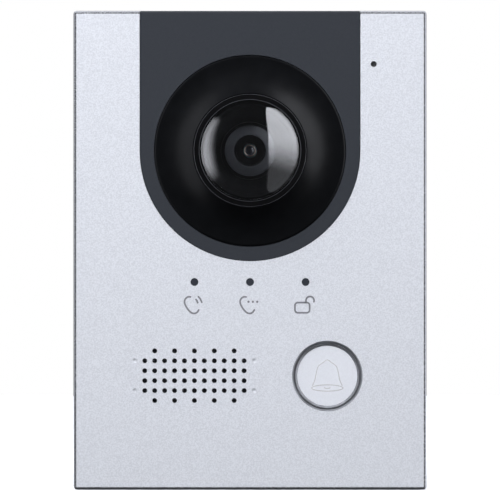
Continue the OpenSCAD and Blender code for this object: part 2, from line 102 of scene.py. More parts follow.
def from_wall(across, up, out):
    """A point in metres, from millimetres across, up and out from the wall."""
    return Vector((across, -out, up)) * MM


PANEL_LOW, PANEL_HIGH = (Vector(c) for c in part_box("front_panel"))
FACE = front_of("front_panel")
LENS = spot("dome_cover")
BUTTON = spot("button_cap")
BUTTON_FACE = 19.1
FLOOR_Z = cad_low[2] - 0.0002


def put(name, data):
    """A new object in the scene."""
    made = bpy.data.objects.new(name, data)
    bpy.context.scene.collection.objects.link(made)
    return made


# ---------------------------------------------------------------- material helpers

class Finish:
    """One procedural material: a shader, its object coordinates and the nodes that drive it."""

    def __init__(self, name, colour, rough, metal=0.0, **sockets):
        self.material = bpy.data.materials.new(name)
        self.material.use_nodes = True
        self.tree = self.material.node_tree
        self.shader = self.tree.nodes["Principled BSDF"]
        self.set("Base Color", (*colour, 1.0))
        self.set("Roughness", rough)
        self.set("Metallic", metal)
        for socket, value in sockets.items():
            self.set(socket.replace("_", " "), value)
        self.coords = self.tree.nodes.new("ShaderNodeTexCoord").outputs["Object"]

    def set(self, socket, value):
        self.shader.inputs[socket].default_value = value

    def node(self, kind, **inputs):
        made = self.tree.nodes.new(kind)
        for socket, value in inputs.items():
            self.feed(made.inputs[socket.replace("_", " ")], value)
        return made

    def feed(self, socket, value):
        if isinstance(value, bpy.types.NodeSocket):
            self.tree.links.new(value, socket)
        else:
            socket.default_value = value

    def noise(self, grain_mm, detail=3.0, coords=None):
        made = self.node("ShaderNodeTexNoise", Scale=1 / (grain_mm * MM), Detail=detail)
        self.feed(made.inputs["Vector"], coords or self.coords)
        return made.outputs["Fac"]

    def cells(self, cell_mm, output="Distance"):
        made = self.node("ShaderNodeTexVoronoi", Scale=1 / (cell_mm * MM), Vector=self.coords)
        return made.outputs[output]

    def stretched(self, x, y, z):
        return self.node("ShaderNodeMapping", Vector=self.coords, Scale=(x, y, z)).outputs["Vector"]

    def between(self, fac, low, high, from_low=0.3, from_high=0.7):
        made = self.node("ShaderNodeMapRange", Value=fac, From_Min=from_low, From_Max=from_high,
                         To_Min=low, To_Max=high)
        return made.outputs["Result"]

    def maths(self, operation, a, b=0.0):
        made = self.tree.nodes.new("ShaderNodeMath")
        made.operation = operation
        self.feed(made.inputs[0], a)
        self.feed(made.inputs[1], b)
        return made.outputs[0]

    def mixed(self, fac, colour, other):
        made = self.tree.nodes.new("ShaderNodeMixRGB")
        self.feed(made.inputs["Fac"], fac)
        self.feed(made.inputs["Color1"], colour)
        self.feed(made.inputs["Color2"], (*other, 1.0))
        return made.outputs["Color"]

    def shade(self, fac, dark, light, low=0.3, high=0.7):
        made = self.tree.nodes.new("ShaderNodeValToRGB")
        self.feed(made.inputs["Fac"], fac)
        made.color_ramp.elements[0].position = low
        made.color_ramp.elements[0].color = (*dark, 1.0)
        made.color_ramp.elements[1].position = high
        made.color_ramp.elements[1].color = (*light, 1.0)
        return made.outputs["Color"]

    def colour(self, fac, dark, light, low=0.3, high=0.7):
        self.feed(self.shader.inputs["Base Color"], self.shade(fac, dark, light, low, high))
        return self

    def rough(self, fac, low, high):
        self.feed(self.shader.inputs["Roughness"], self.between(fac, low, high))
        return self

    def bump(self, height, strength, depth_mm):
        made = self.node("ShaderNodeBump", Height=height, Strength=strength, Distance=depth_mm * MM)
        self.feed(self.shader.inputs["Normal"], made.outputs["Normal"])
        return self


def mul(colour, k):
    return tuple(c * k for c in colour)


def moulded(name, colour, rough=0.5, grain_mm=0.25, depth_mm=0.02, spread=0.12, **sockets):
    """Moulded plastic or rubber: a fine grain, faint mottling and uneven sheen."""
    made = Finish(name, colour, rough, **sockets)
    made.colour(made.noise(6.0), mul(colour, 1 - spread), mul(colour, 1 + spread))
    made.rough(made.noise(2.5), rough - 0.06, rough + 0.06)
    return made.bump(made.noise(grain_mm), 0.5, depth_mm)


def turned_metal(name, colour, rough=0.3, grain_mm=0.15, metal=1.0):
    """Plated or machined small metal parts, with fine scratches."""
    made = Finish(name, colour, rough, metal)
    streaks = made.noise(grain_mm, coords=made.stretched(1, 0.1, 1))
    made.colour(made.noise(2.0), mul(colour, 0.85), mul(colour, 1.1))
    made.rough(streaks, rough - 0.08, rough + 0.1)
    return made.bump(streaks, 0.25, 0.01)


# ---------------------------------------------------------------- the finishes

def blasted_aluminium(colour=(0.675, 0.688, 0.71)):
    """Blasted and anodised on its faces. Round the front edge runs a smoother, more metallic line
    whose colour is darkened as painted shade.
    """
    made = Finish("blasted_aluminium", colour, 0.45, 0.6)
    grain = made.noise(0.34, detail=2.0)
    sparkle = made.noise(0.18, detail=1.0)
    cut = polished_shaded_edge(made)
    blasted = made.shade(grain, mul(colour, 0.9), mul(colour, 1.08), 0.35, 0.65)
    # Painted shade: the front edge's colour is darkened to 0.85 of the face's, on top of its
    # smoother, more metallic finish.
    made.feed(made.shader.inputs["Base Color"], made.mixed(cut, blasted, mul(colour, 0.85)))
    made.feed(made.shader.inputs["Metallic"], made.between(cut, 0.6, 0.94, 0.0, 1.0))
    polish = made.maths("MULTIPLY", cut, 0.2)
    made.feed(made.shader.inputs["Roughness"],
              made.maths("SUBTRACT", made.between(sparkle, 0.36, 0.54), polish))
    return made.bump(sparkle, 0.5, 0.02)


def polished_shaded_edge(made):
    """1 on the line between the front face and the sides, else 0: the band that carries painted
    shade. It is finer at the bottom.
    """
    line = 0.8 * MM
    bottom_line = 0.55 * MM
    depth = 0.75 * MM
    split = made.node("ShaderNodeSeparateXYZ", Vector=made.coords).outputs
    sides = made.maths("GREATER_THAN", made.maths("ABSOLUTE", split["X"]), PANEL_HIGH.x - line)
    top = made.maths("GREATER_THAN", split["Z"], PANEL_HIGH.z - line)
    bottom = made.maths("LESS_THAN", split["Z"], PANEL_LOW.z + bottom_line)
    front = made.maths("LESS_THAN", split["Y"], PANEL_LOW.y + depth)
    edges = made.maths("MAXIMUM", sides, made.maths("MAXIMUM", top, bottom))
    return made.maths("MULTIPLY", edges, front)


def satin_button(colour=(0.73, 0.743, 0.765)):
    made = Finish("satin_button_face", colour, 0.42, 0.6)
    made.colour(made.noise(0.35, detail=2.0), mul(colour, 0.96), mul(colour, 1.04))
    made.rough(made.noise(0.2), 0.37, 0.47)
    return made.bump(made.noise(0.15), 0.25, 0.01)


def anthracite_lacquer(colour=(0.0158, 0.0178, 0.0212)):
    made = Finish("anthracite_lacquer", colour, 0.5, Specular_IOR_Level=0.25)
    made.colour(made.noise(0.3, detail=2.0), mul(colour, 0.9), mul(colour, 1.1))
    made.rough(made.noise(1.2), 0.48, 0.56)
    return made.bump(made.noise(0.14), 0.4, 0.015)


def polished_black(colour=(0.0028, 0.003, 0.0034)):
    made = Finish("polished_black_dish", colour, 0.34, Specular_IOR_Level=0.12)
    made.colour(made.noise(4.0), mul(colour, 0.85), mul(colour, 1.15))
    made.rough(made.noise(3.0), 0.31, 0.37)
    return made.bump(made.noise(0.2), 0.06, 0.006)


def clear_polycarbonate():
    made = Finish("clear_polycarbonate", (0.96, 0.97, 0.98), 0.01, Transmission_Weight=1.0,
                  IOR=1.52)
    made.feed(made.shader.inputs["Roughness"], made.between(made.noise(5.0), 0.0, 0.006))
    return made.bump(made.noise(12.0, detail=0.0), 0.02, 0.004)


def coated_lens(colour=(0.012, 0.012, 0.016)):
    made = Finish("coated_lens_glass", colour, 0.04, Specular_IOR_Level=0.3)
    made.colour(made.noise(1.5), mul(colour, 0.7), mul(colour, 1.6))
    return made.bump(made.noise(4.0), 0.02, 0.01)


def foam():
    made = Finish("closed_cell_foam", (0.02, 0.02, 0.022), 0.9)
    cells = made.cells(0.35)
    made.colour(cells, (0.012, 0.012, 0.013), (0.04, 0.04, 0.043), 0.1, 0.8)
    return made.bump(cells, 0.8, 0.15)


def galvanised_steel(colour=(0.58, 0.59, 0.6)):
    made = Finish("galvanised_steel", colour, 0.42, 0.95)
    spangle = made.cells(2.2, output="Color")
    grey = made.node("ShaderNodeRGBToBW", Color=spangle).outputs["Val"]
    made.colour(grey, mul(colour, 0.93), mul(colour, 1.04), 0.2, 0.8)
    made.rough(grey, 0.38, 0.46)
    return made.bump(made.noise(0.5, coords=made.stretched(1, 1, 0.2)), 0.3, 0.01)


def solder_resist():
    made = Finish("green_solder_resist", (0.008, 0.09, 0.035), 0.3, Coat_Weight=0.4)
    tracks = made.node("ShaderNodeTexBrick", Vector=made.coords, Scale=260.0)
    made.colour(tracks.outputs["Fac"], (0.006, 0.075, 0.03), (0.02, 0.16, 0.06))
    made.rough(made.noise(1.0), 0.26, 0.36)
    return made.bump(tracks.outputs["Fac"], 0.4, 0.02)


def wound_copper():
    made = Finish("enamelled_copper", (0.55, 0.24, 0.1), 0.3, 1.0)
    turns = made.node("ShaderNodeTexWave", Vector=made.coords, Scale=2200.0)
    turns.bands_direction = "Y"
    made.colour(turns.outputs["Fac"], (0.35, 0.13, 0.05), (0.7, 0.34, 0.15), 0.1, 0.9)
    return made.bump(turns.outputs["Fac"], 0.6, 0.05)


FINISHES = {
    "bracket_steel": galvanised_steel(),
    "screw_steel": turned_metal("stainless_screws", (0.6, 0.6, 0.61)),
    "panel_aluminium": blasted_aluminium(),
    "housing_plastic": moulded("spark_textured_plastic", (0.03, 0.032, 0.035), 0.55, 0.3, 0.04),
    "seal_rubber": moulded("silicone_rubber", (0.014, 0.014, 0.015), 0.7, 0.2, 0.02),
    "seal_foam": foam(),
    "bezel_plastic": anthracite_lacquer(),
    "dish_plastic": polished_black(),
    "dome_clear": clear_polycarbonate(),
    "lens_black": moulded("matt_black_barrel", (0.0015, 0.0015, 0.0017), 0.6, 0.1, 0.01,
                          Specular_IOR_Level=0.08),
    "shroud_plastic": moulded("dark_grey_cap", (0.042, 0.044, 0.05), 0.5, 0.12, 0.01,
                              Specular_IOR_Level=0.3),
    "lens_glass": coated_lens(),
    "inner_plastic": moulded("black_inner_plastic", (0.004, 0.0042, 0.005), 0.55, 0.3, 0.02,
                             Specular_IOR_Level=0.12),
    "filter_glass": moulded("blue_green_filter", (0.12, 0.3, 0.32), 0.1, 1.0, 0.005),
    "chip_black": moulded("chip_epoxy", (0.012, 0.013, 0.014), 0.55, 0.12, 0.01),
    "board_green": solder_resist(),
    "led_clear": moulded("led_epoxy", (0.75, 0.76, 0.7), 0.2, 0.5, 0.005),
    "trim_metal": turned_metal("turned_trim", (0.41, 0.42, 0.445), 0.4, metal=0.87),
    "button_metal": satin_button(),
    "light_pipe": moulded("smoked_light_pipe", (0.018, 0.02, 0.025), 0.22, 0.4, 0.004),
    "lead_black": moulded("black_lead_sleeve", (0.015, 0.015, 0.016), 0.45, 0.3, 0.01),
    "mesh_black": moulded("black_mesh_wire", (0.05, 0.05, 0.055), 0.45, 0.2, 0.01),
    "magnet_steel": turned_metal("nickel_plate", (0.42, 0.42, 0.41), 0.25),
    "cone_paper": moulded("pressed_pulp", (0.035, 0.03, 0.024), 0.85, 0.4, 0.06),
    "coil_copper": wound_copper(),
    "lead_red": moulded("red_lead_sleeve", (0.25, 0.012, 0.012), 0.4, 0.3, 0.01),
    "jack_plastic": moulded("jack_nylon", (0.02, 0.021, 0.023), 0.4, 0.2, 0.01),
    "contact_gold": turned_metal("gold_plate", (0.85, 0.58, 0.2), 0.2),
    "terminal_green": moulded("green_terminal_nylon", (0.02, 0.2, 0.075), 0.42, 0.2, 0.01),
    "ribbon_white": moulded("flat_film_cable", (0.72, 0.7, 0.64), 0.4, 0.8, 0.01),
    "socket_ivory": moulded("ivory_socket_nylon", (0.6, 0.55, 0.42), 0.45, 0.2, 0.01),
    "plunger_plastic": moulded("white_acetal", (0.6, 0.6, 0.58), 0.35, 0.4, 0.008),
}
ICON_INK = moulded("grey_icon_ink", (0.12, 0.12, 0.128), 0.6, 0.2, 0.004)
BELL_LINE = moulded("faint_bell_line", (0.37, 0.365, 0.36), 0.5, 0.2, 0.004)
# Grey beads at the dome's edge: partly a sealing bead, partly painted highlight, as their grey
# stands in for the bright lines round the dome.
HIGHLIGHT_GREY_BEAD = moulded("grey_sealing_bead", (0.05, 0.052, 0.057), 0.35, 0.3, 0.004)
RING_BRASS = turned_metal("darkened_lens_ring", (0.32, 0.29, 0.26), 0.35)


def dress_frame():
    """Gives every CAD node the finish of its material slot."""
    for part in frame["record"]["subparts"]:
        node = frame["nodes"][part["node"]]
        node.data.materials.clear()
        node.data.materials.append(FINISHES[part["material_slot"]].material)


dress_frame()


# ---------------------------------------------------------------- making pieces

def settle(name, mesh, body, slot, stands_for=(), finish=None, crease=35):
    """Turns a mesh into a piece that rides on its body. Its finish is its slot's, unless it
    has one of its own."""
    mesh.shade_smooth()
    mesh.set_sharp_from_angle(angle=math.radians(crease))
    mesh.materials.clear()
    mesh.materials.append((finish or FINISHES[slot]).material)
    piece = put(name, mesh)
    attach(piece, body)
    if stands_for:
        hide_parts(*stands_for)
    return piece


def arc(centre_r, centre_out, radius, start, end, steps):
    """Points of a circular arc in a section, from one angle to another."""
    angles = [math.radians(start + (end - start) * k / steps) for k in range(steps + 1)]
    return [(centre_r + radius * math.cos(a), centre_out + radius * math.sin(a)) for a in angles]


def finished_mesh(name, shape):
    """A plain mesh from the closed solids in a shape, with their faces outwards."""
    bmesh.ops.recalc_face_normals(shape, faces=shape.faces)
    mesh = bpy.data.meshes.new(name)
    shape.to_mesh(mesh)
    shape.free()
    return mesh


def turn_section(shape, middle, profile, segments):
    """One closed section turned about the middle. A point on the axis becomes a pole."""
    rings = []
    for radius, out in profile:
        count = segments if radius > 0.001 else 1
        turns = [2 * math.pi * k / segments for k in range(count)]
        rings.append([shape.verts.new(from_wall(middle[0] + radius * math.cos(t),
                                                middle[1] + radius * math.sin(t), out))
                      for t in turns])
    for one, two in zip(rings, rings[1:] + rings[:1]):
        if len(one) == 1 and len(two) == 1:
            continue
        for k in range(segments):
            corners = [one[k % len(one)], one[(k + 1) % len(one)],
                       two[(k + 1) % len(two)], two[k % len(two)]]
            shape.faces.new(list(dict.fromkeys(corners)))


def turned(name, middle, profiles, body, slot, stands_for=(), finish=None, segments=160, crease=35):
    """Solids turned about an axis that points out of the wall, from closed sections of
    (radius, level) points in millimetres."""
    shape = bmesh.new()
    for profile in profiles:
        turn_section(shape, middle, profile, segments)
    settle(name, finished_mesh(name, shape), body, slot, stands_for, finish, crease)


# ---------------------------------------------------------------- the camera

DOME_R = 20.6
DOME_MIDDLE = front_of("dome_cover") - DOME_R
DOME_WALL = 1.5


def dome_section():
    """The dome: a cap of a sphere, a shoulder, a short neck and a flange."""
    shoulder_r = 12.7
    neck_r = 13.68
    bore_r = 12.3
    flange_r = 15.0
    flange = 1.2
    foot = front_of("dome_cover") - 8.2
    inner_r = DOME_R - DOME_WALL
    rise = math.degrees(math.acos(shoulder_r / DOME_R))
    inner_rise = math.degrees(math.acos(bore_r / inner_r))
    outside = arc(0, DOME_MIDDLE, DOME_R, 90, rise, 40)
    inside = arc(0, DOME_MIDDLE, inner_r, inner_rise, 90, 32)
    shoulder = [(13.1, 23.76), (13.48, 23.4), (13.62, 23.1), (neck_r, 22.6)]
    return (outside + shoulder + [(neck_r, foot + flange), (flange_r, foot + flange)]
            + [(flange_r, foot), (bore_r, foot)] + inside)


def dish_section():
    """The dish: flat by the bezel, then a flare that steepens towards the dome."""
    foot = 18.0
    rim = FACE - 0.06
    edge = 0.12
    flare_r = 15.5
    flare_foot_r = 25.2
    outer_r = 25.9
    bore_r = 15.25
    lip = 0.22
    lip_drop = lip * 0.72
    undercut = 0.6
    end = 270 - math.degrees(math.asin((flare_foot_r - bore_r - lip) / flare_r))
    flare = arc(flare_foot_r, FACE + flare_r, flare_r, 270, end, 48)
    flare_out = flare[-1][1]
    rounding = arc(bore_r + lip, flare_out - lip_drop, lip, 50, 180, 6)
    return ([(outer_r, foot), (outer_r, rim - edge), (outer_r - edge, rim),
             (flare_foot_r + 0.1, FACE)] + flare + rounding
            + [(bore_r, foot + undercut), (17.0, foot + undercut), (18.5, foot)])


def dome_retainer_section():
    back, front = 21.6, 23.25
    inner, outer = 13.85, 15.15
    edge = 0.14
    return [(inner, back), (outer, back), (outer, front - edge), (outer - edge, front),
            (inner + edge, front), (inner, front - edge)]


def funnel_section():
    """A funnel with two fine steps, between the cap and the dome's flange."""
    return [(7.8, 16.2), (8.6, 16.2), (11.3, 18.2), (11.5, 19.0), (13.6, 19.0), (13.6, 20.0),
            (11.9, 20.0), (11.75, 19.9), (11.2, 19.25), (10.9, 19.2), (9.4, 18.0), (9.2, 17.95),
            (8.2, 17.45), (7.8, 17.4)]


def cap_section():
    """The grey cap around the lens: slightly crowned, with a rounded edge and a bore."""
    radius = 6.75
    bore = 4.2
    back = 17.7
    round_r = 0.45
    edge_out = 20.75
    return ([(radius, back), (radius, edge_out - round_r)]
            + arc(radius - round_r, edge_out - round_r, round_r, 0, 72, 6)
            + [(5.9, 20.98), (5.3, 21.25), (4.7, 21.43), (bore + 0.1, 21.5), (bore, 21.42),
               (bore, back)])


def barrel_section():
    """The lens barrel. Its black nose sinks in fine steps towards the front lens."""
    back, seat = 13.2, 19.0
    outer, bore = 6.0, 3.0
    return [(bore, back), (outer, back), (outer, 20.9), (4.1, 20.9), (4.1, 21.2), (3.95, 21.3),
            (3.6, 21.3), (3.3, 21.1), (3.2, 21.1), (2.8, 20.85), (2.7, 20.85), (2.3, 20.65),
            (2.0, 20.65), (1.9, seat), (bore, seat)]


def make_camera():
    turned("clear_dome", LENS, [dome_section()], "station", "dome_clear", ["dome_cover"],
           segments=192, crease=45)
    turned("flared_dish", LENS, [dish_section()], "station", "dish_plastic", ["camera_dish"],
           segments=256, crease=40)
    turned("dome_ring", LENS, [dome_retainer_section()], "station", "lens_black",
           ["dome_retainer"])
    # Thin grey beads at the dome's neck and the dish's lip; their grey is painted highlight for the
    # bright lines there.
    beads = [arc(13.78, 23.12, 0.07, 0, 330, 11), arc(15.18, 23.2, 0.04, 0, 330, 11)]
    turned("dome_beads", LENS, beads, "station", "seal_rubber", finish=HIGHLIGHT_GREY_BEAD)
    turned("stepped_funnel", LENS, [funnel_section()], "station", "inner_plastic",
           ["lens_baffle"])
    turned("lens_cap", LENS, [cap_section()], "station", "shroud_plastic", ["lens_shroud"])
    ring = arc(1.46, 20.82, 0.16, 0, 337.5, 15)
    turned("lens_ring", LENS, [ring], "station", "trim_metal", finish=RING_BRASS, segments=72)
    glass = arc(0, 19.1, 2.15, 90, 42, 14) + [(1.6, 20.52), (0, 20.52)]
    turned("front_lens_glass", LENS, [glass], "station", "lens_glass", ["front_lens"],
           segments=72)
    turned("barrel_nose", LENS, [barrel_section()], "station", "lens_black", ["lens_barrel"],
           segments=96)


make_camera()


# ---------------------------------------------------------------- the button

def make_button():
    """The turned ring in the panel's hole, the cap with its flange, and the cap's rim."""
    hole_r = 9.58
    trim_bore = 8.95
    trim_back = 17.7
    trim = [(trim_bore, trim_back), (hole_r, trim_back), (hole_r, FACE), (hole_r - 0.08, 19.64),
            (trim_bore + 0.06, 19.24), (trim_bore, 19.15)]
    turned("button_ring", BUTTON, [trim], "station", "trim_metal", ["button_trim_ring"], crease=60)
    dish_r = 8.15
    flange_r = 10.2
    flange_back, flange_front = 16.4, 17.42
    stem_r, stem_back = 7.2, 18.0
    cap = [(0, stem_back), (stem_r, stem_back), (stem_r, flange_back), (flange_r, flange_back),
           (flange_r, flange_front), (dish_r, flange_front), (dish_r, BUTTON_FACE),
           (0, BUTTON_FACE)]
    turned("call_button_cap", BUTTON, [cap], "call_button", "button_metal", ["button_cap"],
           crease=25)
    rim_r = 8.75
    rim_bore = dish_r + 0.01
    rim_back, rim_front = 17.43, 19.49
    rim = [(rim_bore, rim_back), (rim_r, rim_back), (rim_r, 19.42), (rim_r - 0.06, rim_front),
           (dish_r + 0.06, 19.13), (rim_bore, BUTTON_FACE)]
    turned("cap_rim", BUTTON, [rim], "call_button", "trim_metal", crease=60)


make_button()


# ---------------------------------------------------------------- printed lines

INK_THICK = 0.03
ICON_LINE = 0.47
ICON_DROP = 6.15
ICON_GAP = 15.1


def smooth(points, steps=5):
    """A smooth open curve through a few points."""
    last = len(points) - 1
    made = []
    for k in range(last):
        a, b, c, d = (Vector(points[min(max(j, 0), last)]) for j in (k - 1, k, k + 1, k + 2))
        for s in range(steps):
            t = s / steps
            made.append(0.5 * (2 * b + (c - a) * t + (2 * a - 5 * b + 4 * c - d) * t * t
                               + (3 * b - a - 3 * c + d) * t ** 3))
    made.append(Vector(points[-1]))
    return [(p.x, p.y) for p in made]


def stroke(shape, middle, points, width, level, closed):
    """A flat printed line, as a thin closed solid. An open line has round ends."""
    path = [Vector(p) for p in points]
    count = len(path)
    left, right = [], []
    for k, point in enumerate(path):
        before = path[(k - 1) % count] if closed else path[max(k - 1, 0)]
        after = path[(k + 1) % count] if closed else path[min(k + 1, count - 1)]
        way = (after - before).normalized()
        side = Vector((-way.y, way.x)) * width / 2
        left.append(point + side)
        right.append(point - side)
    if closed:
        extrude_band(shape, middle, left, right, level)
    else:
        outline = left + round_end(path[-1], left[-1]) + right[::-1] + round_end(path[0], right[0])
        extrude_outline(shape, middle, outline, level)


def round_end(point, start, steps=6):
    """Points half round a line's end, clockwise from one side to the other."""
    arm = start - point
    made = []
    for k in range(1, steps):
        a = -math.pi * k / steps
        made.append(point + Vector((arm.x * math.cos(a) - arm.y * math.sin(a),
                                    arm.x * math.sin(a) + arm.y * math.cos(a))))
    return made


def ring_of(shape, middle, outline, out):
    return [shape.verts.new(from_wall(middle[0] + p.x, middle[1] + p.y, out)) for p in outline]


def extrude_outline(shape, middle, outline, level):
    back = ring_of(shape, middle, outline, level)
    front = ring_of(shape, middle, outline, level + INK_THICK)
    count = len(outline)
    shape.faces.new(front)
    shape.faces.new(back[::-1])
    for k in range(count):
        n = (k + 1) % count
        shape.faces.new([back[k], back[n], front[n], front[k]])


def extrude_band(shape, middle, left, right, level):
    top = level + INK_THICK
    rings = [ring_of(shape, middle, line, out)
             for line, out in ((left, level), (left, top), (right, top), (right, level))]
    count = len(left)
    for one, two in zip(rings, rings[1:] + rings[:1]):
        for k in range(count):
            n = (k + 1) % count
            shape.faces.new([one[k], one[n], two[n], two[k]])


def printed(name, middle, strokes, level, body, slot, ink):
    """A printed mark made of several lines: (points, width, closed)."""
    shape = bmesh.new()
    for points, width, closed in strokes:
        stroke(shape, middle, points, width, level, closed)
    settle(name, finished_mesh(name, shape), body, slot, finish=ink)


def handset():
    """The line of a telephone handset: a bowed back that hooks round at both ends."""
    return smooth([(-1.06, 2.11), (-1.7, 2.12), (-2.3, 1.75), (-2.66, 1.05), (-2.6, 0.25),
                   (-2.16, -0.68), (-1.45, -1.64), (-0.75, -2.22), (0.02, -2.38), (0.72, -2.08),
                   (1.17, -1.42)], 4)


def dot(x, z, r):
    """The middle line of a round dot: half its radius, so that a stroke as wide fills it."""
    return [(x + r * 0.5 * math.cos(a * math.pi / 4), z + r * 0.5 * math.sin(a * math.pi / 4))
            for a in range(8)]


def rounded_box(left, right, low, high, r):
    return (arc(right - r, high - r, r, 0, 90, 6) + arc(left + r, high - r, r, 90, 180, 6)
            + arc(left + r, low + r, r, 180, 270, 6) + arc(right - r, low + r, r, 270, 360, 6))


def icon_places():
    across, up = spot("indicator_light_guide")
    return [(across + k * ICON_GAP, up - ICON_DROP) for k in (-1, 0, 1)]


def make_icons():
    """Three generic icons under the lights: call, talk and unlock."""
    call, talk, unlock = icon_places()
    line = handset()
    waves = [smooth([(0.42, 1.42), (0.68, 1.05), (0.9, 0.52)]),
             smooth([(1.08, 2.15), (1.55, 1.6), (2.0, 0.66)])]
    dots = [(dot(x, 0.79, 0.33), 0.33, True) for x in (-0.4, 0.78, 1.96)]
    body = rounded_box(-2.9, 1.1, -2.2, 0.58, 0.8)
    shackle = [(0.1, 0.6)] + arc(1.2, 1.12, 1.1, 180, 0, 14) + [(2.26, 0.8)]
    for name, middle, strokes in (
            ("call_icon", call, [(curve, ICON_LINE, False) for curve in (line, *waves)]),
            ("talk_icon", talk, [(line, ICON_LINE, False), *dots]),
            ("unlock_icon", unlock, [(body, ICON_LINE, True), (shackle, ICON_LINE, False)])):
        printed(name, middle, strokes, FACE, "station", "housing_plastic", ICON_INK)


def make_bell():
    """A faint bell on the cap: its sides, its oval brim and its clapper."""
    width = 0.28
    brim_z, brim_r, brim_rise = -3.3, 4.25, 0.85
    clapper_z, clapper_r, clapper_sag = -3.17, 0.8, 0.3
    right = [(0, 4.34), (1.07, 3.68), (2.42, 2.62), (2.95, 1.05), (3.38, -1.1), (4.0, -2.6)]
    left = [(-x, z) for x, z in right[::-1]]
    turns = [math.pi * k / 18 for k in range(36)]
    brim = [(brim_r * math.cos(t), brim_z + brim_rise * math.sin(t)) for t in turns]
    clapper = [(x, clapper_z + (z - clapper_z) * clapper_sag)
               for x, z in arc(0, clapper_z, clapper_r, 200, 340, 8)]
    strokes = [(smooth(left + right[1:]), width, False), (brim, width, True),
               (clapper, width, False)]
    printed("bell_mark", BUTTON, strokes, BUTTON_FACE, "call_button", "button_metal", BELL_LINE)


make_icons()
make_bell()


# ---------------------------------------------------------------- repeated pieces

class Tree:
    """A Geometry Nodes tree with named sizes. It ends as one plain mesh."""

    def __init__(self, name, **sizes):
        self.tree = bpy.data.node_groups.new(name, "GeometryNodeTree")
        sockets = self.tree.interface
        sockets.new_socket("Geometry", in_out="INPUT", socket_type="NodeSocketGeometry")
        self.values = {}
        for label, value in sizes.items():
            made = sockets.new_socket(label, in_out="INPUT", socket_type="NodeSocketFloat")
            self.values[made.identifier] = value
        sockets.new_socket("Geometry", in_out="OUTPUT", socket_type="NodeSocketGeometry")
        self.inputs = self.tree.nodes.new("NodeGroupInput").outputs

    def node(self, kind, settings=(), **inputs):
        made = self.tree.nodes.new("GeometryNode" + kind)
        for name, value in dict(settings).items():
            setattr(made, name, value)
        for socket, value in inputs.items():
            self.feed(made.inputs[socket.replace("_", " ")], value)
        return made

    def maths(self, operation, a, b):
        made = self.tree.nodes.new("ShaderNodeMath")
        made.operation = operation
        self.feed(made.inputs[0], a)
        self.feed(made.inputs[1], b)
        return made.outputs[0]

    def join(self, *parts):
        made = self.node("JoinGeometry")
        for part in parts:
            self.tree.links.new(part, made.inputs[0])
        return made.outputs[0]

    def vector(self, x=0.0, y=0.0, z=0.0):
        made = self.tree.nodes.new("ShaderNodeCombineXYZ")
        for socket, value in zip(made.inputs, (x, y, z)):
            self.feed(socket, value)
        return made.outputs[0]

    def moved(self, part, **placing):
        return self.node("Transform", Geometry=part, **placing).outputs[0]

    def rod(self, path, radius, sides):
        """A round wire along a curve."""
        ring = self.node("CurvePrimitiveCircle", Resolution=sides, Radius=radius)
        return self.node("CurveToMesh", Curve=path, Profile_Curve=ring.outputs[0],
                         Fill_Caps=True).outputs[0]

    def on_seeds(self, part, **placing):
        """One part on each seed point."""
        points = self.node("MeshToPoints", Mesh=self.inputs["Geometry"])
        return self.node("InstanceOnPoints", Points=points.outputs[0], Instance=part,
                         **placing).outputs[0]

    def feed(self, socket, value):
        if isinstance(value, bpy.types.NodeSocket):
            self.tree.links.new(value, socket)
        else:
            socket.default_value = value

    def grow(self, name, geometry, seed_points, finish):
        """Ends the tree, runs it once on the seed points and returns the plain mesh."""
        real = self.node("RealizeInstances", Geometry=geometry)
        painted = self.node("SetMaterial", Geometry=real.outputs[0], Material=finish.material)
        out = self.tree.nodes.new("NodeGroupOutput")
        self.tree.links.new(painted.outputs[0], out.inputs[0])
        seeds = bpy.data.meshes.new(name + "_seeds")
        seeds.from_pydata([tuple(p) for p in seed_points], [], [])
        carrier = put(name + "_carrier", seeds)
        modifier = carrier.modifiers.new("grow", "NODES")
        modifier.node_group = self.tree
        for identifier, value in self.values.items():
            modifier[identifier] = value
        graph = bpy.context.evaluated_depsgraph_get()
        mesh = bpy.data.meshes.new_from_object(carrier.evaluated_get(graph))
        mesh.name = name
        bpy.data.objects.remove(carrier)
        bpy.data.meshes.remove(seeds)
        return mesh


def solids_of(node):
    """The box of each separate solid in a CAD node, as (low, high) corners."""
    data = frame["nodes"][node].data
    loose = bmesh.new()
    loose.from_mesh(data)
    bmesh.ops.remove_doubles(loose, verts=loose.verts, dist=0.001 * MM)
    left = set(loose.verts)
    boxes = []
    while left:
        reached = [left.pop()]
        group = list(reached)
        while reached:
            for edge in reached.pop().link_edges:
                for vertex in edge.verts:
                    if vertex in left:
                        left.discard(vertex)
                        reached.append(vertex)
                        group.append(vertex)
        low = Vector([min(v.co[i] for v in group) for i in range(3)])
        high = Vector([max(v.co[i] for v in group) for i in range(3)])
        boxes.append((low, high))
    loose.free()
    return sorted(boxes, key=lambda b: (round(b[0].x, 5), round(b[0].z, 5)))


def make_spring():
    """The tamper spring is wound from round wire."""
    low, high = (Vector(c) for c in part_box("tamper_spring"))
    wire = 0.22 * MM
    tree = Tree("coil_spring", Wire=wire, Coil=3.45 * MM, Length=high.y - low.y - 2 * wire,
                Turns=4.5)
    sizes = tree.inputs
    helix = tree.node("CurveSpiral", Resolution=28, Rotations=sizes["Turns"],
                      Start_Radius=sizes["Coil"], End_Radius=sizes["Coil"], Height=sizes["Length"])
    middle = (low + high) / 2
    placed = tree.moved(tree.rod(helix.outputs[0], sizes["Wire"], 10),
                        Translation=(middle.x, low.y + wire, middle.z),
                        Rotation=(-math.pi / 2, 0.0, 0.0))
    mesh = tree.grow("coil_spring", placed, [(0, 0, 0)], FINISHES["screw_steel"])
    mesh.shade_smooth()
    spring = put("coil_spring", mesh)
    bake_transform(spring)
    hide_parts("tamper_spring")


